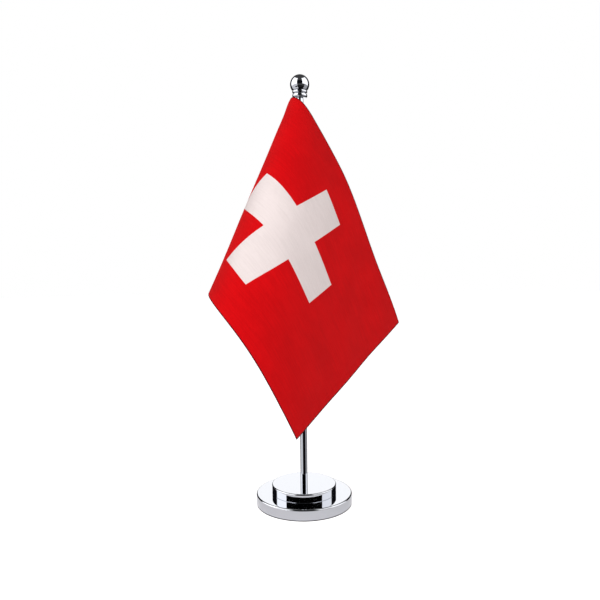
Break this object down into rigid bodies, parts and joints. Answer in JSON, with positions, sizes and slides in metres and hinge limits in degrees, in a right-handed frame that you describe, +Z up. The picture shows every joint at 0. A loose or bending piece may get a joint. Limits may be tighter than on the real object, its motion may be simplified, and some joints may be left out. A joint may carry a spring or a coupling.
{
  "type": "desk flag stand",
  "caption": "Desk flag stand: weighted two-step round chromed base, slim pole with ball finial, and a draped cloth flag that turns on the pole.",
  "frame": {"origin": "centre of the foot pad's underside, where the stand rests on the desk", "axes": "+Z up along the pole; the flag hangs in front of the pole, towards -Y"},
  "size_m": [0.1329, 0.1374, 0.3181],
  "materials": {
    "foam": "closed-cell foam, matt",
    "iron": "raw casting",
    "chrome_base": "bright chrome plate",
    "zinc": "zinc plated",
    "chrome_pole": "bright chrome plate",
    "cloth": "printed polyester",
    "thread": "sewing thread"
  },
  "bodies": {
    "stand": {"foot_pad": "foam", "base_weight": "iron", "base_disc": "chrome_base", "step_disc": "chrome_base", "base_screw": "zinc", "spring_washer": "zinc", "plain_washer": "zinc", "pole": "chrome_pole"},
    "flag": {"flag_cloth": "cloth", "flag_sleeve": "cloth", "seam_thread": "thread"},
    "collar": {"finial_collar": "chrome_pole"},
    "finial": {"finial_ball": "chrome_pole", "finial_stud": "zinc"}
  },
  "joints": [
    {"name": "flag_swivel", "type": "hinge", "parent": "stand", "child": "flag", "pos_m": [0, 0, 0.23], "axis": [0, 0, 1], "continuous": true},
    {"name": "finial_lift", "type": "slide", "parent": "stand", "child": "collar", "axis": [0, 0, 1], "range_m": [0, 0.006]},
    {"name": "finial_turn", "type": "hinge", "parent": "collar", "child": "finial", "pos_m": [0, 0, 0.303], "axis": [0, 0, 1], "range_deg": [0, 4320]}
  ],
  "couplings": [
    {"joint": "finial_turn", "follows": "finial_lift", "rad_per_m": 12566}
  ]
}
